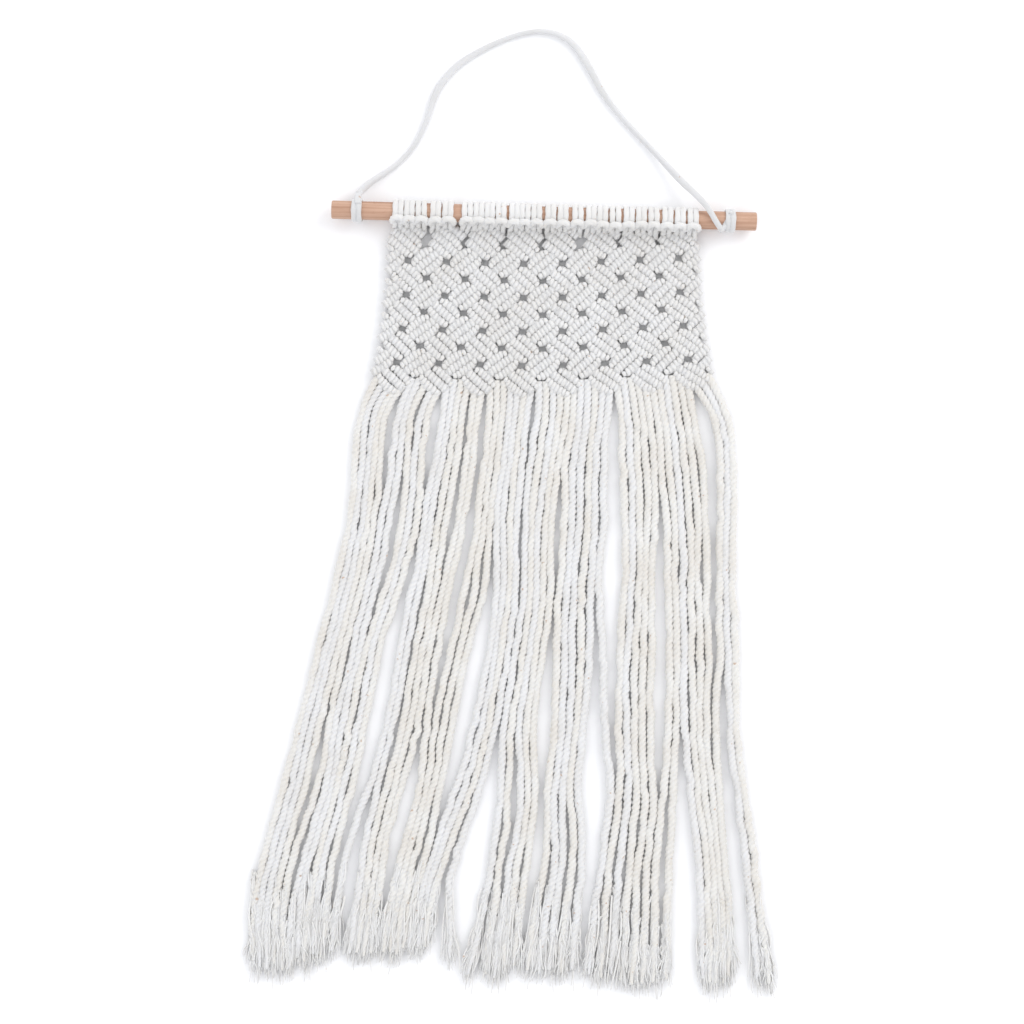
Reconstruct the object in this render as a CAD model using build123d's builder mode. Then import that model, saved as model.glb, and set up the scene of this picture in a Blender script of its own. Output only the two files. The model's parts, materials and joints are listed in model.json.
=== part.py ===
from build123d import *
import os
from math import pi, radians, tan

# A macramé wall hanging lying flat and face up, in millimetres.
# +X runs along the dowel, +Y towards the hanger, +Z up from the surface that it lies on.
# The origin lies under the middle of the dowel and knotted panel together.

os.makedirs("parts", exist_ok=True)

# Dowel
DOWEL_LENGTH = 350.0
DOWEL_RADIUS = 7.5
DOWEL_HEIGHT = 12.0
DOWEL_CHAMFER = 0.6

# Cord, and the loops that it makes round the dowel
CORD_DIAMETER = 4.4
CORD_RADIUS = CORD_DIAMETER / 2
LOOP_CLEARANCE = 0.3
LOOP_THICKNESS = 3.4
LOOP_BORE_RADIUS = DOWEL_RADIUS + LOOP_CLEARANCE
LOOP_OUTER_RADIUS = LOOP_BORE_RADIUS + LOOP_THICKNESS

# Knotted panel
COLUMNS = 8
PANEL_THICKNESS = 9.0
PANEL_TOP = 13.5
ROOT_END = 157.2
FIRST_KNOT_ROW = 25.6
ROW_PITCH = 14.05
TOP_COLUMN_PITCH = 31.9
COLUMN_FLARE = 0.05
ROW_DRIFT = 0.3
RIGHT_RISE = 0.075
BAND_GAP = 0.4
HOLE_RADIUS = 1.7
SLIT_WIDTH = 2.4
GROOVE_WIDTH = 1.8
GROOVE_DEPTH = 1.8

# The origin is midway between the tops of the loops and the ends of the fringe's roots
DOWEL_Y = (ROOT_END - LOOP_OUTER_RADIUS) / 2
DOWEL_AXIS = Axis((0, DOWEL_Y, DOWEL_HEIGHT), (1, 0, 0))

# Lark's heads: where each of the 24 doubled cords sits on the dowel
HEAD_WIDTH = 8.4
HEAD_X = [
    -120.2, -110.6, -100.8, -89.2, -78.8, -62.9, -53.8, -44.5,
    -35.4, -24.4, -15.6, -6.0, 5.2, 15.8, 27.8, 38.6,
    48.2, 58.8, 69.7, 80.1, 90.2, 101.2, 112.0, 122.6,
]
HEADS_PER_COLUMN = 3
BAR_RADIUS = 1.8
BAR_BELOW_AXIS = 7.4
BAR_ABOVE_AXIS = 9.2
NECK_START = 8.6
NECK_BOTTOM = 4.5
NECK_TOP = 12.5

# Fringe: distance below the dowel's axis at which each strand's places are given
STRAND_START = 160.0
STRAND_STATIONS = [200.0, 255.0, 310.0, 365.0, 420.0, 475.0, 530.0, 582.0]
STATION_SHIFT = [0.0, -5.0, 4.0, -2.0, 5.0, -4.0, 3.0, -3.0]
STRAND_HEIGHT = CORD_RADIUS + 0.1
STRAND_LIFT = [0.0, 0.5, 0.2, 0.7, 0.3]

# Each strand, left to right: its place along X at the start, at each station and at its tip,
# then how far below the dowel's axis the tip lies
STRANDS = [
    (-147.0, -149.2, -152.6, -162.9, -175.8, -190.0, -200.0, -215.8, -227.4, -223.0, 622),
    (-142.1, -144.1, -147.5, -157.8, -170.7, -184.6, -194.8, -210.0, -220.6, -217.4, 627),
    (-137.2, -139.0, -142.5, -152.7, -165.6, -179.0, -189.4, -204.4, -214.0, -211.6, 629),
    (-132.3, -133.9, -137.4, -147.6, -160.5, -173.8, -184.0, -198.8, -207.4, -206.0, 624),
    (-127.4, -128.8, -132.3, -142.4, -155.2, -165.0, -171.4, -192.6, -200.8, -200.2, 630),
    (-115.4, -119.0, -126.4, -136.2, -148.5, -159.9, -166.2, -181.8, -192.8, -193.6, 628),
    (-110.5, -113.0, -120.6, -129.6, -142.0, -153.4, -159.6, -176.0, -186.2, -187.0, 618),
    (-105.6, -107.6, -107.6, -120.6, -136.9, -148.4, -154.7, -170.2, -179.8, -180.6, 622),
    (-96.8, -100.4, -102.4, -115.2, -132.3, -139.9, -149.5, -164.4, -173.2, -174.2, 615),
    (-91.9, -95.0, -97.0, -109.9, -127.2, -134.6, -144.3, -158.2, -165.2, -167.2, 618),
    (-78.3, -82.2, -91.4, -98.4, -108.8, -116.4, -128.8, -148.0, -154.4, -158.4, 612),
    (-73.4, -77.1, -86.1, -92.8, -103.2, -110.4, -123.4, -134.4, -139.2, -143.8, 614),
    (-68.5, -71.9, -80.8, -86.8, -97.4, -104.2, -117.8, -129.3, -133.8, -138.0, 613),
    (-63.6, -66.7, -75.4, -81.2, -91.6, -97.8, -112.0, -124.2, -128.4, -132.2, 616),
    (-55.0, -58.4, -64.4, -75.6, -85.6, -91.6, -106.2, -119.0, -122.8, -126.4, 613),
    (-50.1, -53.3, -59.3, -70.2, -79.6, -85.4, -88.6, -104.2, -112.8, -116.0, 612),
    (-38.5, -43.4, -48.2, -57.4, -67.8, -78.8, -83.4, -98.9, -107.4, -110.2, 612),
    (-33.6, -38.3, -43.0, -48.8, -61.8, -70.8, -78.0, -93.6, -102.0, -104.6, 614),
    (-28.7, -32.6, -37.6, -39.4, -55.2, -63.2, -71.8, -82.2, -96.4, -99.2, 608),
    (-23.7, -27.6, -32.2, -29.6, -35.0, -44.4, -57.8, -76.6, -90.8, -93.4, 608),
    (-18.8, -22.4, -27.0, -24.4, -29.8, -38.9, -51.4, -71.2, -85.4, -87.4, 607),
    (-13.9, -17.2, -21.9, -19.2, -24.6, -33.4, -44.8, -65.4, -79.8, -81.6, 607),
    (-9.0, -12.1, -16.8, -13.9, -19.3, -27.8, -38.0, -59.6, -63.2, -60.8, 616),
    (1.9, -5.4, -8.4, -6.6, -13.8, -21.2, -20.8, -26.8, -34.4, -45.2, 629),
    (7.5, 0.4, -3.2, -1.4, -8.6, -15.4, -15.2, -20.6, -27.6, -30.2, 628),
    (13.1, 6.0, 2.0, 3.8, -2.8, -9.8, -4.2, -13.0, -20.6, -23.0, 631),
    (18.7, 11.6, 7.2, 9.0, 2.9, -4.4, 1.8, -6.6, -13.4, -15.2, 622),
    (24.3, 17.2, 12.4, 14.4, 8.4, 1.0, 7.8, 0.4, -6.0, -7.0, 620),
    (29.9, 23.2, 24.8, 20.6, 21.6, 21.4, 15.2, 17.8, 6.6, 4.6, 624),
    (35.5, 29.2, 31.0, 26.8, 28.0, 27.2, 21.4, 25.2, 15.4, 13.2, 627),
    (41.1, 35.6, 37.4, 33.2, 34.2, 33.0, 27.4, 32.8, 24.4, 22.2, 623),
    (46.7, 41.8, 43.8, 39.6, 41.0, 38.8, 33.4, 40.6, 33.4, 31.8, 625),
    (52.3, 47.8, 50.4, 46.0, 47.8, 44.8, 39.8, 48.6, 42.6, 41.2, 622),
    (57.9, 54.4, 57.2, 52.6, 58.6, 60.2, 70.4, 64.4, 57.6, 54.4, 626),
    (69.4, 71.4, 74.6, 75.6, 73.2, 72.8, 77.4, 71.4, 66.2, 64.0, 628),
    (75.2, 77.8, 80.6, 81.2, 79.6, 79.4, 84.2, 78.4, 74.8, 73.6, 625),
    (81.0, 84.2, 86.8, 87.0, 86.0, 86.0, 91.2, 85.4, 83.4, 82.6, 630),
    (86.8, 90.6, 92.6, 92.8, 92.4, 92.6, 98.2, 92.4, 92.0, 91.2, 633),
    (92.6, 97.0, 98.8, 98.6, 98.8, 99.4, 105.2, 99.6, 100.4, 99.8, 632),
    (98.4, 103.2, 109.8, 112.4, 114.6, 115.6, 112.4, 106.8, 108.4, 108.2, 631),
    (104.3, 109.6, 116.0, 118.2, 120.8, 121.8, 119.2, 119.6, 118.2, 117.8, 628),
    (110.2, 116.0, 122.4, 124.0, 127.2, 127.8, 136.4, 143.6, 148.2, 149.4, 627),
    (116.1, 122.4, 128.8, 130.0, 133.8, 133.8, 141.6, 148.9, 153.6, 155.2, 630),
    (122.0, 129.0, 135.4, 136.0, 140.6, 139.8, 147.3, 154.2, 158.9, 160.6, 630),
    (128.0, 136.0, 142.2, 142.0, 147.4, 145.8, 152.1, 159.5, 164.2, 166.0, 630),
    (147.6, 152.0, 153.6, 153.8, 157.2, 152.0, 157.9, 164.8, 169.6, 171.8, 624),
    (152.8, 157.4, 158.8, 159.3, 163.2, 164.6, 173.4, 182.6, 188.8, 195.4, 626),
    (158.2, 162.8, 164.0, 164.8, 168.9, 170.0, 178.8, 188.9, 196.6, 204.2, 629),
]
ENDS_PER_CORD = 2
CORDS_PER_COLUMN = 3

# Hanger: its route from the left ring to the right hitch; y is from the dowel's axis
RING_X = 153.5
HANGER = [
    (-153.5, 13.6, 11.0), (-147.0, 22.0, 8.2), (-135.0, 30.4, 4.6), (-121.5, 40.6, 2.6),
    (-107.5, 57.0, 2.4), (-98.0, 79.5, 2.4), (-92.5, 102.5, 2.4), (-76.0, 124.0, 2.4),
    (-51.5, 139.4, 2.4), (-27.5, 150.4, 2.4), (-3.0, 155.2, 2.4), (18.5, 147.4, 2.4),
    (33.0, 127.0, 2.4), (46.0, 102.6, 2.4), (65.5, 79.8, 2.4), (90.0, 56.0, 3.0),
    (112.0, 32.0, 10.0), (124.5, 20.0, 18.0), (135.0, 8.0, 23.0), (142.0, -4.0, 22.4),
    (147.0, -9.5, 18.6),
]


def corner_radii(points):
    """The largest arc at each corner of a route that its two runs leave room for."""
    radii = []
    for before, here, after in zip(points, points[1:], points[2:]):
        run_in = Vector(*here) - Vector(*before)
        run_out = Vector(*after) - Vector(*here)
        turn = run_in.get_angle(run_out)
        shorter = min(run_in.length, run_out.length)
        radii.append(0.45 * shorter / tan(radians(turn) / 2))
    return radii


def cord_tube(points, name):
    """A round cord along straight runs joined by tangent arcs."""
    radii = corner_radii(points)
    with BuildPart() as tube:
        with BuildLine() as path:
            FilletPolyline(*points, radius=radii)
        route = path.wires()[0]
        with BuildSketch(Plane(origin=route @ 0, z_dir=route % 0)):
            Circle(CORD_RADIUS)
        sweep(path=route)
    expected = route.length * pi * CORD_RADIUS**2
    error = tube.part.volume / expected - 1
    print(f"{name}: length {route.length:.0f}, least radius {min(radii):.0f}, volume {error:+.4f}")
    return tube.part


def strand_route(index):
    """The points of one strand of the fringe, from the panel down to its tip."""
    places = STRANDS[index]
    shift = STATION_SHIFT[index // (ENDS_PER_CORD * CORDS_PER_COLUMN)]
    stations = [STRAND_START] + [station + shift for station in STRAND_STATIONS] + [places[-1]]
    route = []
    for step, (x, station) in enumerate(zip(places[:-1], stations)):
        lift = 0.0 if step == 0 else STRAND_LIFT[(2 * index + 3 * step) % len(STRAND_LIFT)]
        route.append((x, DOWEL_Y - station, STRAND_HEIGHT + lift))
    return route


def knot_corner(half_column, row):
    """Where four blocks of knots meet, counted in half columns and rows from the top left."""
    pitch = TOP_COLUMN_PITCH + COLUMN_FLARE * row**2
    x = (half_column - COLUMNS) / 2 * pitch + ROW_DRIFT * row
    y = DOWEL_Y - FIRST_KNOT_ROW - ROW_PITCH * row + RIGHT_RISE * max(0.0, x)
    return Vector(x, y)


def groove(start, end):
    """A V-shaped prism that cuts a groove from start to end along the panel's top face."""
    along = (end - start).normalized()
    across = Vector(-along.Y, along.X, 0)
    half = GROOVE_WIDTH / 2
    with BuildPart() as prism:
        with BuildSketch(Plane(origin=(start.X, start.Y, PANEL_THICKNESS), x_dir=across, z_dir=along)):
            with BuildLine():
                Polyline((-half, 0.05), (half, 0.05), (0, -GROOVE_DEPTH), close=True)
            make_face()
        extrude(amount=(end - start).length)
    return prism.part


def block_lines(half_column, row):
    """The lines round a block and between its three bars."""
    left = knot_corner(half_column - 1, row)
    right = knot_corner(half_column + 1, row)
    top = knot_corner(half_column, row - 1)
    bottom = knot_corner(half_column, row + 1)
    lines = [(left, top), (right, top), (right, bottom), (left, bottom)]
    for share in (1 / 3, 2 / 3):
        if row % 2 == 0:
            lines.append((left + (top - left) * share, bottom + (right - bottom) * share))
        else:
            lines.append((left + (bottom - left) * share, top + (right - top) * share))
    return lines


def fringe_roots(lower_edge):
    """The 48 cords that leave the panel's lower edge, down to just above the fringe's hinge line."""
    left = lower_edge[0].X
    pitch = (lower_edge[-1].X - left) / len(STRANDS)
    with BuildPart() as roots:
        for index, places in enumerate(STRANDS):
            x = left + (index + 0.5) * pitch
            for before, after in zip(lower_edge, lower_edge[1:]):
                if before.X <= x <= after.X:
                    share = (x - before.X) / (after.X - before.X)
                    edge_y = before.Y + (after.Y - before.Y) * share
            start = Vector(x, edge_y + 5, STRAND_HEIGHT)
            end = Vector(places[0], DOWEL_Y - STRAND_START, STRAND_HEIGHT)
            with BuildSketch(Plane(origin=start, z_dir=end - start)):
                Circle(CORD_RADIUS)
            extrude(amount=(end - start).length + 2)
        with Locations((0, DOWEL_Y - ROOT_END - 10, STRAND_HEIGHT)):
            Box(400, 20, 10, mode=Mode.SUBTRACT)
    return roots.part


# Dowel
with BuildPart() as dowel:
    with BuildSketch(Plane(origin=(-DOWEL_LENGTH / 2, DOWEL_Y, DOWEL_HEIGHT), z_dir=(1, 0, 0))):
        Circle(DOWEL_RADIUS)
    extrude(amount=DOWEL_LENGTH)
    chamfer(dowel.edges().filter_by(GeomType.CIRCLE), DOWEL_CHAMFER)
dowel.part.label = "dowel"
export_step(dowel.part, "parts/dowel.step")

# Lark's heads, three for each column: two turns over the dowel, a bar across them and a neck
for column in range(COLUMNS):
    first = column * HEADS_PER_COLUMN
    with BuildPart() as larks_heads:
        for head_x in HEAD_X[first:first + HEADS_PER_COLUMN]:
            loop_y = DOWEL_Y + LOOP_BORE_RADIUS + LOOP_THICKNESS / 2
            with BuildSketch(Plane((head_x, loop_y, DOWEL_HEIGHT))):
                with Locations((-HEAD_WIDTH / 4, 0), (HEAD_WIDTH / 4, 0)):
                    Ellipse(HEAD_WIDTH / 4 + 0.15, LOOP_THICKNESS / 2)
            revolve(axis=DOWEL_AXIS)
            with Locations((head_x, DOWEL_Y - BAR_BELOW_AXIS, DOWEL_HEIGHT + BAR_ABOVE_AXIS)):
                Cylinder(BAR_RADIUS, HEAD_WIDTH, rotation=(0, 90, 0))
            neck_length = PANEL_TOP - BAND_GAP - NECK_START
            neck_y = DOWEL_Y - NECK_START - neck_length / 2
            with Locations((head_x, neck_y, (NECK_BOTTOM + NECK_TOP) / 2)):
                Box(HEAD_WIDTH, neck_length, NECK_TOP - NECK_BOTTOM)
    larks_heads.part.label = f"larks_heads_{column + 1}"
    export_step(larks_heads.part, f"parts/larks_heads_{column + 1}.step")

# Knotted panel: zigzag bands of blocks, with an eyelet where four blocks meet.
# The last band carries the roots of the fringe, cut off straight just above the hinge line.
LAST_BAND = 4
for band in range(LAST_BAND + 1):
    first_row = 2 * band
    half_columns = range(2 * COLUMNS + 1)
    inset = Vector(0, BAND_GAP / 2)
    if band == 0:
        top_y = DOWEL_Y - PANEL_TOP
        upper = [Vector(knot_corner(0, 0).X, top_y), Vector(knot_corner(2 * COLUMNS, 0).X, top_y)]
    else:
        upper = [knot_corner(h, first_row - h % 2) - inset for h in half_columns]
    if band == LAST_BAND:
        lower = [knot_corner(h, first_row + 0.55 + 0.45 * (h % 2)) for h in half_columns]
        last_row = first_row
    else:
        lower = [knot_corner(h, first_row + 2 - h % 2) + inset for h in half_columns]
        last_row = first_row + 1
    upper_eyelets = [knot_corner(h, first_row - h % 2) for h in half_columns[1:-1]]
    lower_eyelets = [] if band == LAST_BAND else [p - inset for p in lower[1:-1]]

    lines = {}
    for row in range(first_row, last_row + 1):
        for h in range(1 - row % 2, 2 * COLUMNS + 1, 2):
            if 0 < h < 2 * COLUMNS:
                for start, end in block_lines(h, row):
                    middle = (start + end) / 2
                    lines[round(middle.X, 1), round(middle.Y, 1)] = (start, end)
    grooves = [groove(start, end) for start, end in lines.values()]

    with BuildPart() as knot_band:
        with BuildSketch():
            with BuildLine():
                Polyline(*upper, *reversed(lower), close=True)
            make_face()
            with Locations(*upper_eyelets, *lower_eyelets):
                Circle(HOLE_RADIUS, mode=Mode.SUBTRACT)
            if band == 0:
                slit_end = [knot_corner(h, 0) for h in range(2, 2 * COLUMNS, 2)]
                for end in slit_end:
                    with Locations((end.X, (top_y + end.Y) / 2)):
                        Rectangle(SLIT_WIDTH, top_y - end.Y, mode=Mode.SUBTRACT)
        extrude(amount=PANEL_THICKNESS)
        add(grooves, mode=Mode.SUBTRACT)
        if band == LAST_BAND:
            add(fringe_roots(lower))
    knot_band.part.label = f"knot_band_{band + 1}"
    export_step(knot_band.part, f"parts/knot_band_{band + 1}.step")

# Fringe: each node is the two free ends of one doubled cord
for cord in range(len(HEAD_X)):
    strand_parts = []
    for end in range(ENDS_PER_CORD):
        index = cord * ENDS_PER_CORD + end
        strand_parts.append(cord_tube(strand_route(index), f"strand {index + 1}"))
    with BuildPart() as fringe_cord:
        for strand in strand_parts:
            add(strand)
    fringe_cord.part.label = f"fringe_cord_{cord + 1:02d}"
    export_step(fringe_cord.part, f"parts/fringe_cord_{cord + 1:02d}.step")

# Hanger: two turns round each end of the dowel, and the cord between them
for side, name in ((-1, "hanger_ring_left"), (1, "hanger_ring_right")):
    with BuildPart() as ring:
        with BuildSketch(Plane((side * RING_X, loop_y, DOWEL_HEIGHT))):
            with Locations((-CORD_RADIUS, 0), (CORD_RADIUS, 0)):
                Ellipse(CORD_RADIUS + 0.15, LOOP_THICKNESS / 2)
        revolve(axis=DOWEL_AXIS)
    ring.part.label = name
    export_step(ring.part, f"parts/{name}.step")

hanger_route = [(x, DOWEL_Y + y, z) for x, y, z in HANGER]
hanger_tube = cord_tube(hanger_route, "hanger")
with BuildPart() as hanger_cord:
    add(hanger_tube)
hanger_cord.part.label = "hanger_cord"
export_step(hanger_cord.part, "parts/hanger_cord.step")
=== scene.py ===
import json
from math import pi, radians

import bpy
import numpy as np
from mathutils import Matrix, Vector

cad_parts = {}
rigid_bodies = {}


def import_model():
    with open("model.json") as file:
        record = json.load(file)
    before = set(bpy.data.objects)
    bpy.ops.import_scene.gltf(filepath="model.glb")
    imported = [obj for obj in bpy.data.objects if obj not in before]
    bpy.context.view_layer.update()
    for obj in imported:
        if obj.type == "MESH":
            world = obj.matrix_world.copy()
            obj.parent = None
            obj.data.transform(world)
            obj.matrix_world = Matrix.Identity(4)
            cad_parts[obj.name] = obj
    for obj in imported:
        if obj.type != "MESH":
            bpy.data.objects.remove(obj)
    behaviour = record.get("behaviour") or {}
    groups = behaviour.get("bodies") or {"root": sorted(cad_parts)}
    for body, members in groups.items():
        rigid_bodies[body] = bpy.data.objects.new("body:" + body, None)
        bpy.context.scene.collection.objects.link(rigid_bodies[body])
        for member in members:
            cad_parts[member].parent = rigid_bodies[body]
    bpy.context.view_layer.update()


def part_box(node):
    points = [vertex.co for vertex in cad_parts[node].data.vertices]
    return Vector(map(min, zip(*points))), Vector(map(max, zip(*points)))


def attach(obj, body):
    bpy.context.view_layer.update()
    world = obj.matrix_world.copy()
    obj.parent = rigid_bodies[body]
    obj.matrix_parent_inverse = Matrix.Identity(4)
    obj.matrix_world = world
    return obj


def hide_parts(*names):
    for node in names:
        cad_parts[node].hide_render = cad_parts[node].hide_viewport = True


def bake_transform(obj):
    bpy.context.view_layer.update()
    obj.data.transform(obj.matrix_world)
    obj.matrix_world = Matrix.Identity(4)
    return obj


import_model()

rng = np.random.default_rng(11)
MM = 0.001

# Places that come from the CAD
dowel_low, dowel_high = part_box("dowel")
DOWEL_Y = (dowel_low.y + dowel_high.y) / 2 / MM
DOWEL_Z = (dowel_low.z + dowel_high.z) / 2 / MM
DOWEL_RADIUS = (dowel_high.z - dowel_low.z) / 2 / MM

# The knotted panel's lattice and the fringe, as in the CAD, in millimetres
COLUMNS = 8
FIRST_KNOT_ROW = 25.6
ROW_PITCH = 14.05
TOP_COLUMN_PITCH = 31.9
COLUMN_FLARE = 0.05
ROW_DRIFT = 0.3
RIGHT_RISE = 0.075
HEAD_X = [
    -120.2, -110.6, -100.8, -89.2, -78.8, -62.9, -53.8, -44.5,
    -35.4, -24.4, -15.6, -6.0, 5.2, 15.8, 27.8, 38.6,
    48.2, 58.8, 69.7, 80.1, 90.2, 101.2, 112.0, 122.6,
]
STRAND_START = 160.0
STRAND_STATIONS = [200.0, 255.0, 310.0, 365.0, 420.0, 475.0, 530.0, 582.0]
STATION_SHIFT = [0.0, -5.0, 4.0, -2.0, 5.0, -4.0, 3.0, -3.0]
STRAND_HEIGHT = 2.3
STRAND_LIFT = [0.0, 0.5, 0.2, 0.7, 0.3]
# Each strand, left to right: its place along X at the start, at each station and at its tip,
# then how far below the dowel's axis the tip lies
STRANDS = [
    (-147.0, -149.2, -152.6, -162.9, -175.8, -190.0, -200.0, -215.8, -227.4, -223.0, 622),
    (-142.1, -144.1, -147.5, -157.8, -170.7, -184.6, -194.8, -210.0, -220.6, -217.4, 627),
    (-137.2, -139.0, -142.5, -152.7, -165.6, -179.0, -189.4, -204.4, -214.0, -211.6, 629),
    (-132.3, -133.9, -137.4, -147.6, -160.5, -173.8, -184.0, -198.8, -207.4, -206.0, 624),
    (-127.4, -128.8, -132.3, -142.4, -155.2, -165.0, -171.4, -192.6, -200.8, -200.2, 630),
    (-115.4, -119.0, -126.4, -136.2, -148.5, -159.9, -166.2, -181.8, -192.8, -193.6, 628),
    (-110.5, -113.0, -120.6, -129.6, -142.0, -153.4, -159.6, -176.0, -186.2, -187.0, 618),
    (-105.6, -107.6, -107.6, -120.6, -136.9, -148.4, -154.7, -170.2, -179.8, -180.6, 622),
    (-96.8, -100.4, -102.4, -115.2, -132.3, -139.9, -149.5, -164.4, -173.2, -174.2, 615),
    (-91.9, -95.0, -97.0, -109.9, -127.2, -134.6, -144.3, -158.2, -165.2, -167.2, 618),
    (-78.3, -82.2, -91.4, -98.4, -108.8, -116.4, -128.8, -148.0, -154.4, -158.4, 612),
    (-73.4, -77.1, -86.1, -92.8, -103.2, -110.4, -123.4, -134.4, -139.2, -143.8, 614),
    (-68.5, -71.9, -80.8, -86.8, -97.4, -104.2, -117.8, -129.3, -133.8, -138.0, 613),
    (-63.6, -66.7, -75.4, -81.2, -91.6, -97.8, -112.0, -124.2, -128.4, -132.2, 616),
    (-55.0, -58.4, -64.4, -75.6, -85.6, -91.6, -106.2, -119.0, -122.8, -126.4, 613),
    (-50.1, -53.3, -59.3, -70.2, -79.6, -85.4, -88.6, -104.2, -112.8, -116.0, 612),
    (-38.5, -43.4, -48.2, -57.4, -67.8, -78.8, -83.4, -98.9, -107.4, -110.2, 612),
    (-33.6, -38.3, -43.0, -48.8, -61.8, -70.8, -78.0, -93.6, -102.0, -104.6, 614),
    (-28.7, -32.6, -37.6, -39.4, -55.2, -63.2, -71.8, -82.2, -96.4, -99.2, 608),
    (-23.7, -27.6, -32.2, -29.6, -35.0, -44.4, -57.8, -76.6, -90.8, -93.4, 608),
    (-18.8, -22.4, -27.0, -24.4, -29.8, -38.9, -51.4, -71.2, -85.4, -87.4, 607),
    (-13.9, -17.2, -21.9, -19.2, -24.6, -33.4, -44.8, -65.4, -79.8, -81.6, 607),
    (-9.0, -12.1, -16.8, -13.9, -19.3, -27.8, -38.0, -59.6, -63.2, -60.8, 616),
    (1.9, -5.4, -8.4, -6.6, -13.8, -21.2, -20.8, -26.8, -34.4, -45.2, 629),
    (7.5, 0.4, -3.2, -1.4, -8.6, -15.4, -15.2, -20.6, -27.6, -30.2, 628),
    (13.1, 6.0, 2.0, 3.8, -2.8, -9.8, -4.2, -13.0, -20.6, -23.0, 631),
    (18.7, 11.6, 7.2, 9.0, 2.9, -4.4, 1.8, -6.6, -13.4, -15.2, 622),
    (24.3, 17.2, 12.4, 14.4, 8.4, 1.0, 7.8, 0.4, -6.0, -7.0, 620),
    (29.9, 23.2, 24.8, 20.6, 21.6, 21.4, 15.2, 17.8, 6.6, 4.6, 624),
    (35.5, 29.2, 31.0, 26.8, 28.0, 27.2, 21.4, 25.2, 15.4, 13.2, 627),
    (41.1, 35.6, 37.4, 33.2, 34.2, 33.0, 27.4, 32.8, 24.4, 22.2, 623),
    (46.7, 41.8, 43.8, 39.6, 41.0, 38.8, 33.4, 40.6, 33.4, 31.8, 625),
    (52.3, 47.8, 50.4, 46.0, 47.8, 44.8, 39.8, 48.6, 42.6, 41.2, 622),
    (57.9, 54.4, 57.2, 52.6, 58.6, 60.2, 70.4, 64.4, 57.6, 54.4, 626),
    (69.4, 71.4, 74.6, 75.6, 73.2, 72.8, 77.4, 71.4, 66.2, 64.0, 628),
    (75.2, 77.8, 80.6, 81.2, 79.6, 79.4, 84.2, 78.4, 74.8, 73.6, 625),
    (81.0, 84.2, 86.8, 87.0, 86.0, 86.0, 91.2, 85.4, 83.4, 82.6, 630),
    (86.8, 90.6, 92.6, 92.8, 92.4, 92.6, 98.2, 92.4, 92.0, 91.2, 633),
    (92.6, 97.0, 98.8, 98.6, 98.8, 99.4, 105.2, 99.6, 100.4, 99.8, 632),
    (98.4, 103.2, 109.8, 112.4, 114.6, 115.6, 112.4, 106.8, 108.4, 108.2, 631),
    (104.3, 109.6, 116.0, 118.2, 120.8, 121.8, 119.2, 119.6, 118.2, 117.8, 628),
    (110.2, 116.0, 122.4, 124.0, 127.2, 127.8, 136.4, 143.6, 148.2, 149.4, 627),
    (116.1, 122.4, 128.8, 130.0, 133.8, 133.8, 141.6, 148.9, 153.6, 155.2, 630),
    (122.0, 129.0, 135.4, 136.0, 140.6, 139.8, 147.3, 154.2, 158.9, 160.6, 630),
    (128.0, 136.0, 142.2, 142.0, 147.4, 145.8, 152.1, 159.5, 164.2, 166.0, 630),
    (147.6, 152.0, 153.6, 153.8, 157.2, 152.0, 157.9, 164.8, 169.6, 171.8, 624),
    (152.8, 157.4, 158.8, 159.3, 163.2, 164.6, 173.4, 182.6, 188.8, 195.4, 626),
    (158.2, 162.8, 164.0, 164.8, 168.9, 170.0, 178.8, 188.9, 196.6, 204.2, 629),
]
HANGER = [
    (-153.5, 13.6, 11.0), (-147.0, 22.0, 8.2), (-135.0, 30.4, 4.6), (-121.5, 40.6, 2.6),
    (-107.5, 57.0, 2.4), (-98.0, 79.5, 2.4), (-92.5, 102.5, 2.4), (-76.0, 124.0, 2.4),
    (-51.5, 139.4, 2.4), (-27.5, 150.4, 2.4), (-3.0, 155.2, 2.4), (18.5, 147.4, 2.4),
    (33.0, 127.0, 2.4), (46.0, 102.6, 2.4), (65.5, 79.8, 2.4), (90.0, 56.0, 3.0),
    (112.0, 32.0, 10.0), (124.5, 20.0, 18.0), (135.0, 8.0, 23.0), (142.0, -4.0, 22.4),
    (147.0, -9.5, 18.6),
]

# ---------------------------------------------------------------- camera
SPAN = 0.845
LENS = 85.0
SENSOR = 36.0
CAMERA_X = -0.0195
CAMERA_BELOW_DOWEL = 0.245
CAMERA_EXTRA_HEIGHT = 0.01
CAMERA_ROLL = 1.62
camera_data = bpy.data.cameras.new("camera")
camera_data.lens = LENS
camera_data.sensor_width = SENSOR
camera = bpy.data.objects.new("camera", camera_data)
bpy.context.scene.collection.objects.link(camera)
camera.location = (CAMERA_X, DOWEL_Y * MM - CAMERA_BELOW_DOWEL, SPAN * LENS / SENSOR + CAMERA_EXTRA_HEIGHT)
camera.rotation_euler = (0, 0, radians(CAMERA_ROLL))
bpy.context.scene.camera = camera


# ---------------------------------------------------------------- materials
def nodes_of(name):
    material = bpy.data.materials.new(name)
    material.use_nodes = True
    tree = material.node_tree
    return material, tree, tree.nodes["Principled BSDF"]


def stretched(tree, vector, scale):
    """The vector scaled along each axis."""
    node = tree.nodes.new("ShaderNodeMapping")
    node.inputs["Scale"].default_value = scale
    tree.links.new(vector, node.inputs["Vector"])
    return node.outputs["Vector"]


def noise(tree, vector, scale, detail, roughness=0.5):
    node = tree.nodes.new("ShaderNodeTexNoise")
    node.inputs["Scale"].default_value = scale
    node.inputs["Detail"].default_value = detail
    node.inputs["Roughness"].default_value = roughness
    tree.links.new(vector, node.inputs["Vector"])
    return node.outputs["Fac"]


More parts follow.
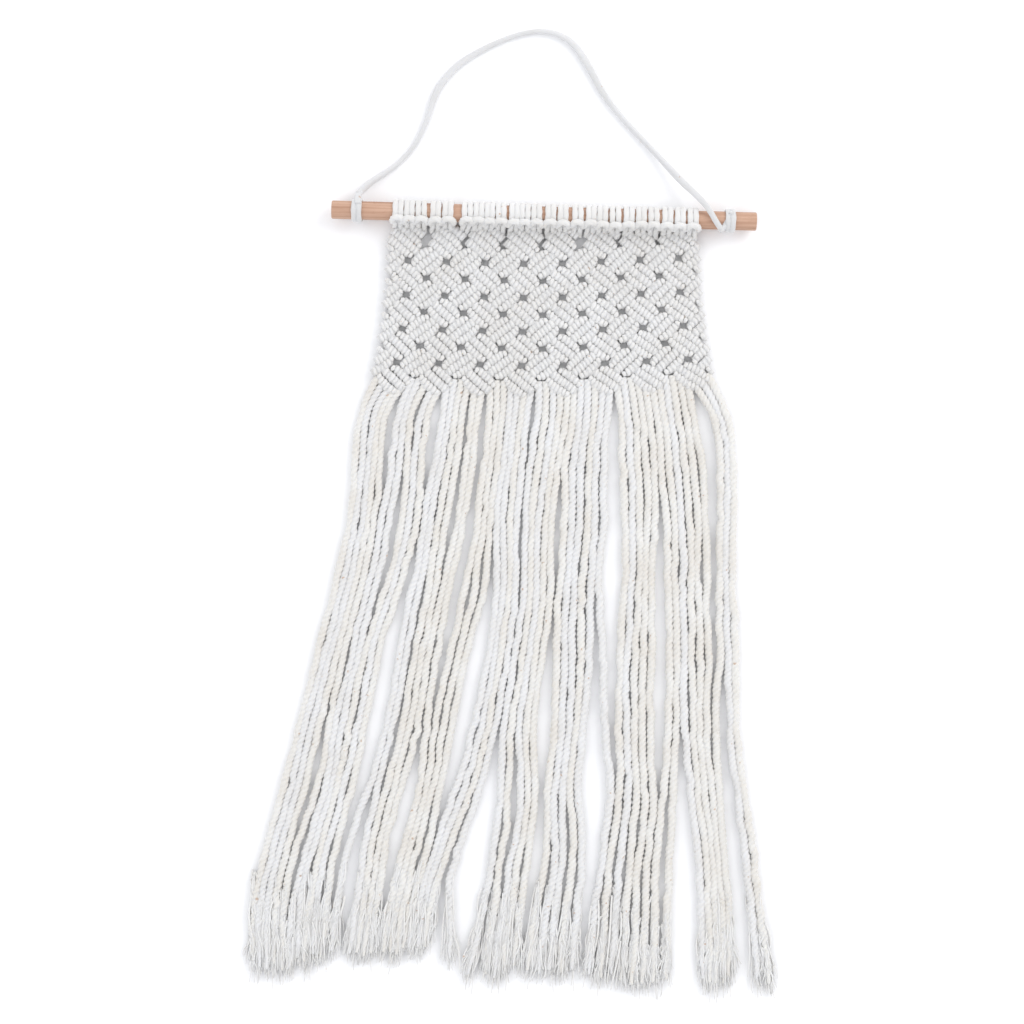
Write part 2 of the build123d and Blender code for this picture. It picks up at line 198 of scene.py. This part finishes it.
def ramp(tree, factor, low, low_colour, high, high_colour):
    """A colour that goes from low_colour at factor low to high_colour at factor high."""
    node = tree.nodes.new("ShaderNodeValToRGB")
    for element, position, colour in zip(node.color_ramp.elements, (low, high), (low_colour, high_colour)):
        element.position = position
        element.color = (*colour, 1)
    tree.links.new(factor, node.inputs["Fac"])
    return node.outputs["Color"]


def tinted(tree, factor, colour, tint):
    """The colour, turned into the tint where the factor is high."""
    node = tree.nodes.new("ShaderNodeMix")
    node.data_type = "RGBA"
    node.inputs[7].default_value = (*tint, 1)
    tree.links.new(factor, node.inputs[0])
    tree.links.new(colour, node.inputs[6])
    return node.outputs[2]


def relief(tree, height, strength, distance, shader):
    node = tree.nodes.new("ShaderNodeBump")
    node.inputs["Strength"].default_value = strength
    node.inputs["Distance"].default_value = distance
    tree.links.new(height, node.inputs["Height"])
    tree.links.new(node.outputs["Normal"], shader.inputs["Normal"])


def cotton_material(name, light, shade, fibre, bump, sheen=0.35):
    """Undyed cotton: soft fibres along the cord, cloudy warm tone and a few seed flecks."""
    material, tree, shader = nodes_of(name)
    where = tree.nodes.new("ShaderNodeTexCoord")
    along_cord = stretched(tree, where.outputs["UV"], (fibre, fibre * 0.12, 1))
    fibres = noise(tree, along_cord, 1.0, 4.0, 0.65)
    cloud = noise(tree, where.outputs["Object"], 34.0, 3.0)
    weak = tree.nodes.new("ShaderNodeMath")
    weak.operation = "MULTIPLY"
    weak.inputs[1].default_value = 0.45
    tree.links.new(fibres, weak.inputs[0])
    blend = tree.nodes.new("ShaderNodeMath")
    blend.operation = "MULTIPLY_ADD"
    blend.inputs[1].default_value = 0.55
    tree.links.new(cloud, blend.inputs[0])
    tree.links.new(weak.outputs[0], blend.inputs[2])
    tone = ramp(tree, blend.outputs[0], 0.36, shade, 0.60, light)
    seeds = noise(tree, where.outputs["Object"], 210.0, 1.0)
    rare = ramp(tree, seeds, 0.76, (0, 0, 0), 0.80, (0.7, 0.7, 0.7))
    tree.links.new(tinted(tree, rare, tone, (0.50, 0.33, 0.22)), shader.inputs["Base Color"])
    relief(tree, fibres, bump, 0.0006, shader)
    shader.inputs["Roughness"].default_value = 0.92
    shader.inputs["Subsurface Weight"].default_value = 0.35
    shader.inputs["Subsurface Radius"].default_value = (1.0, 0.95, 0.85)
    shader.inputs["Subsurface Scale"].default_value = 0.0018
    shader.inputs["Specular IOR Level"].default_value = 0.15
    shader.inputs["Sheen Weight"].default_value = sheen
    shader.inputs["Sheen Roughness"].default_value = 0.6
    return material


def beech_material():
    """Sanded beech: fine grain along X, with short dark flecks."""
    material, tree, shader = nodes_of("beech")
    where = tree.nodes.new("ShaderNodeTexCoord")
    grain = noise(tree, stretched(tree, where.outputs["Object"], (14, 420, 420)), 1.0, 5.0)
    tone = ramp(tree, grain, 0.32, (0.42, 0.235, 0.155), 0.66, (0.62, 0.40, 0.29))
    flecks = noise(tree, stretched(tree, where.outputs["Object"], (240, 1500, 1500)), 1.0, 2.0)
    cut = ramp(tree, flecks, 0.60, (0, 0, 0), 0.72, (0.45, 0.45, 0.45))
    tree.links.new(tinted(tree, cut, tone, (0.36, 0.17, 0.10)), shader.inputs["Base Color"])
    relief(tree, grain, 0.12, 0.0003, shader)
    shader.inputs["Roughness"].default_value = 0.62
    return material


knot_cotton = cotton_material("knot_cotton", (0.755, 0.75, 0.745), (0.70, 0.685, 0.665), 1.5, 0.5)
# Two strand cottons: the second one's cooler, bluish tone is painted shade, as on strands lying in shadow
strand_cottons = [
    cotton_material("strand_cotton", (0.77, 0.762, 0.742), (0.71, 0.68, 0.635), 1.8, 0.6),
    cotton_material("strand_cotton_painted_shade", (0.76, 0.76, 0.765), (0.71, 0.70, 0.69), 1.8, 0.6)]
PAINTED_SHADE_SHARE = 0.36  # how many of the strands are the cooler cotton, whose bluish tone is painted shade
fray_cotton = cotton_material("fray_cotton", (0.80, 0.795, 0.785), (0.76, 0.745, 0.72), 2.5, 0.4, 0.5)
tape_cotton = cotton_material("tape_cotton", (0.685, 0.685, 0.695), (0.63, 0.63, 0.63), 1.6, 0.5)
beech = beech_material()


# ---------------------------------------------------------------- cord geometry
def unit(v):
    return v / np.maximum(np.linalg.norm(v, axis=-1, keepdims=True), 1e-12)


def spine(points, closed=False):
    """The points and two cross directions along them, with no sudden turn from point to point."""
    points = np.asarray(points, float)
    if closed:
        tangents = unit(np.roll(points, -1, 0) - np.roll(points, 1, 0))
    else:
        tangents = unit(np.gradient(points, axis=0))
    first = np.array([0, 0, 1.0]) - tangents[0] * tangents[0][2]
    if np.linalg.norm(first) < 0.1:
        first = np.array([1.0, 0, 0]) - tangents[0] * tangents[0][0]
    normals = [unit(first)]
    for t in tangents[1:]:
        normals.append(unit(normals[-1] - t * np.dot(normals[-1], t)))
    normals = np.array(normals)
    return points, normals, np.cross(tangents, normals)


def lobes(theta, core):
    """A three-ply cord's outline, 1 at its crests; a larger core gives shallower grooves."""
    off = 1 - core
    delta = (theta + pi / 3) % (2 * pi / 3) - pi / 3
    return off * np.cos(delta) + np.sqrt(np.maximum(core**2 - (off * np.sin(delta)) ** 2, 0))


class Skin:
    """Closed tubes gathered into one mesh, all in millimetres until the object is made."""

    def __init__(self):
        self.points, self.faces, self.uvs, self.count = [], [], [], 0

    def tube(self, path, radius, sides=12, core=0.62, pitch=16.0, phase=0.0, flat=None, closed=False):
        """A three-ply cord along the path, or with flat a tape.

        radius is one number or one for each point. flat gives three arrays with a number for each
        point: the half width and half thickness as shares of the radius, and the turn. The UVs are
        in mm, round the tube and along it."""
        points, normals, cross = spine(path, closed)
        rings = len(points)
        steps = np.linalg.norm(np.diff(points, axis=0), axis=1)
        along = np.concatenate([[0], np.cumsum(steps)])
        theta = np.linspace(0, 2 * pi, sides, endpoint=False)
        radius = np.broadcast_to(np.asarray(radius, float), (rings,))
        if flat is None:
            if closed:
                total = along[-1] + np.linalg.norm(points[0] - points[-1])
                turn = 2 * pi / 3 * max(1, round(3 * total / pitch)) * along / total + phase
            else:
                turn = 2 * pi * along / pitch + phase
            reach = lobes(theta[None, :] - turn[:, None], core) * radius[:, None]
            u, v = reach * np.cos(theta), reach * np.sin(theta)
        else:
            wide, thick, twist = flat
            a = np.cos(theta)[None, :] * wide[:, None] * radius[:, None]
            b = np.sign(np.sin(theta)) * np.abs(np.sin(theta)) ** 0.8
            b = b[None, :] * thick[:, None] * radius[:, None]
            u = a * np.cos(twist)[:, None] - b * np.sin(twist)[:, None]
            v = a * np.sin(twist)[:, None] + b * np.cos(twist)[:, None]
        ring = points[:, None, :] + u[..., None] * normals[:, None, :] + v[..., None] * cross[:, None, :]
        start = self.count
        self.points.append(ring.reshape(-1, 3))
        self.count += rings * sides
        around = np.arange(sides)
        girth = 2 * pi * float(radius.mean()) / sides
        last = rings if closed else rings - 1
        offset = rng.uniform(0, 100)
        for i in range(last):
            j = (i + 1) % rings
            a, b = start + i * sides, start + j * sides
            nxt = (around + 1) % sides
            quads = np.stack([a + around, b + around, b + nxt, a + nxt], 1)
            self.faces.extend(quads.tolist())
            s0 = along[i] + offset
            s1 = s0 + (steps[i] if i < rings - 1 else np.linalg.norm(points[0] - points[-1]))
            x0, x1 = around * girth, (around + 1) * girth
            uv = np.stack([x0, np.full(sides, s0), x0, np.full(sides, s1),
                           x1, np.full(sides, s1), x1, np.full(sides, s0)], 1)
            self.uvs.append(uv.reshape(-1))
        if not closed:
            for base, order in ((start, around), (start + (rings - 1) * sides, around[::-1])):
                self.faces.append((base + order).tolist())
                self.uvs.append(np.tile([0.0, offset], sides))

    def object(self, name, material):
        mesh = bpy.data.meshes.new(name)
        mesh.from_pydata((np.concatenate(self.points) * MM).tolist(), [], self.faces)
        layer = mesh.uv_layers.new(name="fibre")
        layer.data.foreach_set("uv", np.concatenate(self.uvs).astype(np.float32))
        mesh.polygons.foreach_set("use_smooth", np.ones(len(mesh.polygons), bool))
        mesh.materials.append(material)
        mesh.update()
        made = bpy.data.objects.new(name, mesh)
        bpy.context.scene.collection.objects.link(made)
        return made


def smooth_line(name, route, step):
    """Evenly spaced points, in mm, along one NURBS spline with the route as its control points."""
    data = bpy.data.curves.new(name, "CURVE")
    data.dimensions = "3D"
    data.resolution_u = 24
    spline = data.splines.new("NURBS")
    spline.points.add(len(route) - 1)
    for point, place in zip(spline.points, route):
        point.co = (*[c * MM for c in place], 1)
    spline.order_u = 3
    spline.use_endpoint_u = True
    guide = bpy.data.objects.new(name, data)
    line = bpy.data.meshes.new_from_object(guide)
    points = np.array([v.co[:] for v in line.vertices]) / MM
    bpy.data.objects.remove(guide)
    bpy.data.curves.remove(data)
    bpy.data.meshes.remove(line)
    along = np.concatenate([[0], np.cumsum(np.linalg.norm(np.diff(points, axis=0), axis=1))])
    count = max(4, int(along[-1] / step))
    at = np.linspace(0, along[-1], count + 1)
    return np.stack([np.interp(at, along, points[:, k]) for k in range(3)], 1), along[-1]


def sway(length, count, scale, size):
    """A smooth random offset along a cord, in mm."""
    knots = max(4, int(length / scale))
    values = rng.normal(0, size, knots)
    values[0] = 0
    at = np.linspace(0, knots - 1, count)
    low = np.floor(at).astype(int).clip(0, knots - 2)
    t = at - low
    t = t * t * (3 - 2 * t)
    return values[low] * (1 - t) + values[low + 1] * t


# ---------------------------------------------------------------- lattice
def corner(half_column, row):
    pitch = TOP_COLUMN_PITCH + COLUMN_FLARE * row**2
    x = (half_column - COLUMNS) / 2 * pitch + ROW_DRIFT * row
    y = DOWEL_Y - FIRST_KNOT_ROW - ROW_PITCH * row + RIGHT_RISE * max(0.0, x)
    return np.array([x, y])


# ---------------------------------------------------------------- hanger
TAPE_RADIUS = 2.5
TAPE_WIDE = 0.78
TAPE_THICK = 1.05
hanger_route = [(x, DOWEL_Y + y, z) for x, y, z in HANGER]
hanger_line, hanger_length = smooth_line("hanger_guide", hanger_route, 1.6)
count = len(hanger_line)
place = np.linspace(0, 1, count)
twist = 0.9 * np.sin(place * 9.0 + 0.6) + sway(hanger_length, count, 40, 0.35)
wide = 1.0 + 0.10 * np.sin(place * 23 + 1.0)
hanger_skin = Skin()
hanger_skin.tube(hanger_line, TAPE_RADIUS, sides=18, flat=(wide * TAPE_WIDE, wide * TAPE_THICK, twist))
hanger = hanger_skin.object("hanger_tape", tape_cotton)
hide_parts("hanger_cord")
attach(hanger, "hanger")

# The hanger's two turns round each end of the dowel, and the tape that leads into them
TURN_SHIFTS = (-2.3, 1.3)
TURN_GAP = 1.15
TURN_LEAN = 0.45
TURN_WIDE = 2.45
TURN_THICK = 1.2
for side, name in ((-1, "left"), (1, "right")):
    low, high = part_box(f"hanger_ring_{name}")
    middle = (low.x + high.x) / 2 / MM
    ring_skin = Skin()
    for turn, shift in enumerate(TURN_SHIFTS):
        angle = np.linspace(0, 2 * pi, 40, endpoint=False)
        reach = DOWEL_RADIUS + TURN_GAP + 0.15 * turn
        path = np.stack([
            middle + shift + TURN_LEAN * side * np.sin(angle),
            DOWEL_Y + reach * np.cos(angle),
            DOWEL_Z + reach * np.sin(angle)], 1)
        wave = 1 + 0.05 * np.sin(angle * 5 + turn)
        ring_skin.tube(path, 1.0, sides=16, closed=True,
                       flat=(TURN_WIDE * wave, TURN_THICK * wave, 0 * angle))
    end, inner = (0, 2) if side < 0 else (-1, -3)
    tail = [hanger_line[inner], hanger_line[end],
            (middle + 0.3 * side, DOWEL_Y + DOWEL_RADIUS + 0.6, DOWEL_Z + 5.0),
            (middle - 0.4 * side, DOWEL_Y + 4.0, DOWEL_Z + DOWEL_RADIUS + 0.9)]
    line, _ = smooth_line("tail", tail, 1.0)
    even = np.ones(len(line))
    ring_skin.tube(line, TAPE_RADIUS, sides=18,
                   flat=(wide[end] * 0.8 * even, wide[end] * even, twist[end] * even))
    ring = ring_skin.object(f"hanger_turns_{name}", tape_cotton)
    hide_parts(f"hanger_ring_{name}")
    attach(ring, "hanger")


# ---------------------------------------------------------------- fringe
def strand_route(index):
    """The CAD's places for a strand, after a short lead out of the knots above it, in mm."""
    places = STRANDS[index]
    shift = STATION_SHIFT[index // 6]
    column, order = divmod(index, 6)
    left, bottom, right = (corner(2 * column + k, 8 + k % 2) for k in (0, 1, 2))
    if order < 3:
        root = left + (bottom - left) * (order + 0.5) / 3
    else:
        root = bottom + (right - bottom) * (order - 2.5) / 3
    route = [(root[0] * 0.985, root[1] + 4, 4.6)]
    stations = [STRAND_START] + [station + shift for station in STRAND_STATIONS] + [places[-1]]
    for step, (x, station) in enumerate(zip(places[:-1], stations)):
        lift = 0.0 if step == 0 else STRAND_LIFT[(2 * index + 3 * step) % len(STRAND_LIFT)]
        route.append((x, DOWEL_Y - station, STRAND_HEIGHT + 0.25 + lift))
    return route


STRAND_RADIUS = 3.3
FIRST_THICKER = 28      # the strands from here to the right are a little thicker
SIDE_LIMIT = 1.5        # how far a strand's waves go sideways
LIFT = 0.6              # and how far they lift it, at least and on top of that
LIFT_LIMIT = 1.3
TIP_RUN = 62            # how far from its end a strand thins, and by how much
TIP_LOSS = 2.3
FRAY_RUN = 52           # where the middle of a tip's loose yarns starts, from its end
YARNS = 54
YARN_RADIUS = 0.78
YARN_FLOOR, YARN_CEILING = 0.7, 6.2
for index in range(6 * COLUMNS):
    route = strand_route(index)
    line, length = smooth_line(f"guide_{index + 1}", route, 1.25)
    count = len(line)
    along = np.arange(count) * length / count
    fade = np.clip((along - 8) / 30, 0, 1)
    free = line.copy()
    waves = sway(length, count, 8, 0.5) + sway(length, count, 28, 0.5)
    free[:, 0] += fade * waves.clip(-SIDE_LIMIT, SIDE_LIMIT)
    free[:, 2] += fade * (LIFT + np.abs(sway(length, count, 12, 0.55)).clip(0, LIFT_LIMIT))
    tip = np.clip((along - (length - TIP_RUN)) / TIP_RUN, 0, 1)
    thicker = 0.2 * (index >= FIRST_THICKER)
    radius = STRAND_RADIUS + 0.1 * fade + thicker + sway(length, count, 8, 0.16) - TIP_LOSS * tip**2
    strand_skin = Skin()
    strand_skin.tube(free, radius, sides=18, core=0.6, pitch=rng.uniform(12.5, 16), phase=rng.uniform(0, 6))
    body = f"fringe_{index // 6 + 1}"
    # Some strands get the cooler cotton, a painted bluish shade
    strand = strand_skin.object(f"strand_{index + 1:02d}", strand_cottons[int(rng.random() < PAINTED_SHADE_SHARE)])
    if index % 2 == 0:
        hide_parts(f"fringe_cord_{index // 2 + 1:02d}")
    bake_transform(strand)

    # The loose yarns that the cord opens into at its tip
    fray_skin = Skin()
    start = line[int(count * (1 - FRAY_RUN / length))]
    end = line[-1]
    run = unit(end - start)
    across = np.array([-run[1], run[0], 0.0])
    for _ in range(YARNS):
        begin = rng.uniform(-24, 26)
        reach = np.linalg.norm(end - start) + rng.normal(-2, 7) - begin
        spread = rng.normal(0, 3.2)
        curl = rng.normal(0, 1.2, 2)
        t = np.linspace(0, 1, 13)
        side = rng.normal(0, 1.3) + spread * t**1.5
        side = side + curl[0] * np.sin(t * rng.uniform(4, 10) + rng.uniform(0, 3))
        rise = 2.6 + rng.normal(1.5, 1.3) * (1 - 0.6 * t) + curl[1] * 0.5 * np.sin(t * 6)
        path = start + run * (begin + reach * t)[:, None] + across * side[:, None]
        path[:, 2] = np.clip(rise, YARN_FLOOR, YARN_CEILING)
        fray_skin.tube(path, YARN_RADIUS * (1.1 - 0.72 * t**3), sides=5, core=0.9, pitch=9)
    fray = fray_skin.object(f"fray_{index + 1:02d}", fray_cotton)
    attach(fray, body)


# ---------------------------------------------------------------- knotted panel
WRAP_PITCH = 3.45
WRAP_RADIUS = 1.9
WRAP_HALF_WIDTH = 2.35
WRAP_HALF_HEIGHT = 2.75
KNOT_HEIGHT = 4.75       # the wraps' middle, over the surface
HELD_HEIGHT = 4.6        # and that of the cord they hold
HELD_RADIUS = 3.8
HELD_RADIUS_PINCHED = 2.4
PINCH = (1.4, 0.5)       # how much narrower the last wrap and the one before it are at an eyelet
# How far the wraps stop short of a bar's end: less than nothing, so that neighbours close up
OUTER_TRIM = -0.1
MIDDLE_TRIM = -0.4
# Room left at each side of a column, from the panel's left edge to its right
SLIT = [1.4, 4.0, 2.6, 2.5, 2.5, 4.1, 2.1, 2.3, 1.4]
# More or less of it at the left and right ends of a column's top bars, by the bar's number
SLIT_CHANGE = {0: (-0.8, 0), 1: (1.9, 0), 3: (0, -0.8), 4: (0, 1.9)}
TOP_OF_KNOTS = 7.6       # below the dowel's axis


def wrap(skin, middle, along, height, scale, narrow):
    """One turn of a cord round a bar: a closed loop, leaning a little along the bar."""
    across = np.array([-along[1], along[0]]) * (1 if along[0] > 0 else -1)
    lean = unit(across + np.array([0, rng.normal(0.42, 0.07)]))
    angle = np.linspace(0, 2 * pi, 16, endpoint=False) + rng.uniform(0, 0.4)
    half_width, half_height = WRAP_HALF_WIDTH * scale - narrow, WRAP_HALF_HEIGHT * scale
    out = half_width * np.sign(np.cos(angle)) * np.abs(np.cos(angle)) ** 0.85
    path = np.zeros((16, 3))
    path[:, :2] = middle + out[:, None] * lean + 0.3 * np.sin(angle)[:, None] * along
    path[:, 2] = height + half_height * np.sin(angle)
    skin.tube(path, WRAP_RADIUS * scale * rng.uniform(0.95, 1.05), sides=12, core=0.72, pitch=12.0,
              phase=rng.uniform(0, 6), closed=True)


def bar(skin, start, end, trim_start, trim_end, centre, pinched):
    """A row of wraps from start to end, and the straight cord that they hold.

    A pinched end draws its wraps in towards the block's centre, which leaves an eyelet at the corner."""
    along = end - start
    full = np.linalg.norm(along)
    along = along / full
    side = np.array([-along[1], along[0]])
    begin, finish = trim_start, full - trim_end
    count = max(1, round((finish - begin) / WRAP_PITCH))
    pitch = (finish - begin) / count
    for k in range(count):
        pair = 0.08 if k % 2 else -0.08
        at = begin + (k + 0.5) * pitch - pair
        place = start + along * at + side * rng.normal(0, 0.16)
        scale = rng.uniform(0.97, 1.05)
        narrow = 0.0
        for squeezed, near in ((pinched[0], k), (pinched[1], count - 1 - k)):
            if squeezed and near < 2:
                narrow = PINCH[near]
                place = place + side * np.sign(np.dot(centre - place, side)) * narrow
        wrap(skin, place, along, KNOT_HEIGHT + rng.normal(0, 0.14), scale, narrow)
    shy = [0.1 if p else -0.05 for p in pinched]
    held = [(*(start + along * (begin + (finish - begin) * t)), HELD_HEIGHT)
            for t in (shy[0], 0.35, 0.65, 1 - shy[1])]
    first, last = (HELD_RADIUS_PINCHED if p else HELD_RADIUS for p in pinched)
    skin.tube(held, [first, HELD_RADIUS, HELD_RADIUS, last], sides=12, core=0.95)


def top_block(skin, column):
    """The first knots of a column: bars that fill it from the lark's heads to the first full row."""
    left, right = corner(2 * column, 0), corner(2 * column + 2, 0)
    top, bottom = corner(2 * column + 1, -1), corner(2 * column + 1, 1)
    full = np.linalg.norm(bottom - left)
    along = (bottom - left) / full
    low_x = left[0] + SLIT[column]
    high_x = right[0] - SLIT[column + 1]
    for k in range(6):
        base = left + (top - left) * (k + 0.5) / 3
        open_left, open_right = SLIT_CHANGE.get(k, (0, 0))
        begin = max((low_x + open_left - base[0]) / along[0],
                    (base[1] - (DOWEL_Y - TOP_OF_KNOTS)) / -along[1])
        finish = min(full, (high_x - open_right - base[0]) / along[0])
        if finish - begin > 3:
            pinched = (False, k in (0, 2))
            bar(skin, base + along * begin, base + along * finish, 0, 0.3, (left + right) / 2, pinched)


def block(skin, half_column, row):
    """Three bars side by side; half blocks finish at the panel's straight sides."""
    left, right = corner(half_column - 1, row), corner(half_column + 1, row)
    top, bottom = corner(half_column, row - 1), corner(half_column, row + 1)
    for k, share in enumerate((1 / 6, 3 / 6, 5 / 6)):
        if row % 2 == 0:
            start, end = left + (top - left) * share, bottom + (right - bottom) * share
        else:
            start, end = left + (bottom - left) * share, top + (right - top) * share
        trims = [MIDDLE_TRIM if k == 1 else OUTER_TRIM] * 2
        pinched = [k != 1, k != 1]
        if half_column == 0:
            start, trims[0], pinched[0] = start + (end - start) * (1 - share), MIDDLE_TRIM, False
        if half_column == 2 * COLUMNS:
            end, trims[1], pinched[1] = start + (end - start) * (1 - share), MIDDLE_TRIM, False
        bar(skin, start, end, *trims, (top + bottom) / 2, pinched)


for band in range(5):
    band_skin = Skin()
    for row in ((2 * band, 2 * band + 1) if band < 4 else (8,)):
        for half_column in range(1 - row % 2, 2 * COLUMNS + 1, 2):
            if row == 0:
                top_block(band_skin, half_column // 2)
            else:
                block(band_skin, half_column, row)
    knots = band_skin.object(f"knots_{band + 1}", knot_cotton)
    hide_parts(f"knot_band_{band + 1}")
    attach(knots, "panel")

# ---------------------------------------------------------------- lark's heads and the cords below them
HEAD_TURN = 2.25         # from a head's middle to each of its two turns
HEAD_GAP = 1.25
HEAD_WIDE = 2.35
HEAD_THICK = 1.35
LEAD_RADIUS = 2.4
BIGHT_RADIUS = 2.75
# The bar across a head: out from its middle, below the dowel's axis and in front of it
BIGHT = [(-4.6, 8.8, 2.6), (-4.5, 7.2, 9.2), (0.0, 6.0, 11.2), (4.5, 7.2, 9.2), (4.6, 8.8, 2.6)]
for column in range(COLUMNS):
    head_skin = Skin()
    left, top, right = (corner(2 * column + k, -(k % 2)) for k in (0, 1, 2))
    for order in range(6):
        head = HEAD_X[3 * column + order // 2]
        x = head + (-HEAD_TURN if order % 2 == 0 else HEAD_TURN) + rng.normal(0, 0.12)
        angle = np.linspace(0, 2 * pi, 36, endpoint=False)
        reach = DOWEL_RADIUS + HEAD_GAP
        ring = np.stack([x + 0.25 * np.sin(angle + order), DOWEL_Y + reach * np.cos(angle),
                         DOWEL_Z + reach * np.sin(angle)], 1)
        squash = 1 + 0.08 * np.sin(angle * 7 + order)
        head_skin.tube(ring, 1.0, sides=14, closed=True,
                       flat=(HEAD_WIDE * squash, HEAD_THICK / squash, 0.12 * np.sin(angle * 5)))
        if order < 3:
            goal = left + (top - left) * (order + 0.5) / 3
        else:
            goal = top + (right - top) * (order - 2.5) / 3
        lead = [(x, DOWEL_Y - 4.5, DOWEL_Z + 7.6), (x, DOWEL_Y - 8.4, DOWEL_Z + 2.4),
                (x * 0.7 + goal[0] * 0.3, DOWEL_Y - 11.4, 5.6), (x * 0.4 + goal[0] * 0.6, DOWEL_Y - 16, 4.2)]
        line, _ = smooth_line("lead", lead, 1.2)
        head_skin.tube(line, LEAD_RADIUS, sides=12, core=0.66, pitch=14, phase=rng.uniform(0, 6))
        if order % 2 == 0:
            drop = rng.normal(0, 0.35)
            across = [(head + out, DOWEL_Y - below + drop, DOWEL_Z + front) for out, below, front in BIGHT]
            line, _ = smooth_line("bight", across, 1.1)
            head_skin.tube(line, BIGHT_RADIUS, sides=12, core=0.68, pitch=14, phase=rng.uniform(0, 6))
    heads = head_skin.object(f"heads_{column + 1}", knot_cotton)
    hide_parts(f"larks_heads_{column + 1}")
    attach(heads, "panel")

# ---------------------------------------------------------------- dowel
for item in bpy.data.objects:
    if item.type == "MESH" and item.name == "dowel":
        item.data.materials.clear()
        item.data.materials.append(beech)

# ---------------------------------------------------------------- floor and light
FLOOR_Z = -0.0009        # just under the lowest fibres
floor_material, _, floor_shader = nodes_of("floor")
floor_shader.inputs["Base Color"].default_value = (0.93, 0.93, 0.94, 1)
floor_shader.inputs["Roughness"].default_value = 0.9
floor_shader.inputs["Specular IOR Level"].default_value = 0.1
floor_mesh = bpy.data.meshes.new("floor")
floor_mesh.from_pydata([(x, y, FLOOR_Z) for x, y in ((-4, -4), (4, -4), (4, 4), (-4, 4))], [], [(0, 1, 2, 3)])
floor_mesh.materials.append(floor_material)
floor = bpy.data.objects.new("floor", floor_mesh)
bpy.context.scene.collection.objects.link(floor)


def area_light(name, place, aim, size, power, tint):
    data = bpy.data.lights.new(name, "AREA")
    data.shape = "SQUARE"
    data.size = size
    data.energy = power
    data.color = tint
    lamp = bpy.data.objects.new(name, data)
    lamp.location = place
    lamp.rotation_euler = (Vector(aim) - Vector(place)).to_track_quat("-Z", "Y").to_euler()
    bpy.context.scene.collection.objects.link(lamp)
    return lamp


key = area_light("key", (1.7, 1.3, 1.9), (0, -0.15, 0), 1.5, 24, (1.0, 0.985, 0.965))
fill = area_light("fill", (-1.8, -0.6, 2.2), (0, -0.15, 0), 2.2, 12, (0.96, 0.97, 1.0))
world = bpy.data.worlds.new("studio")
world.use_nodes = True
world.node_tree.nodes["Background"].inputs["Color"].default_value = (0.97, 0.98, 1.0, 1)
world.node_tree.nodes["Background"].inputs["Strength"].default_value = 1.0
bpy.context.scene.world = world
bpy.context.scene.view_settings.view_transform = "Standard"
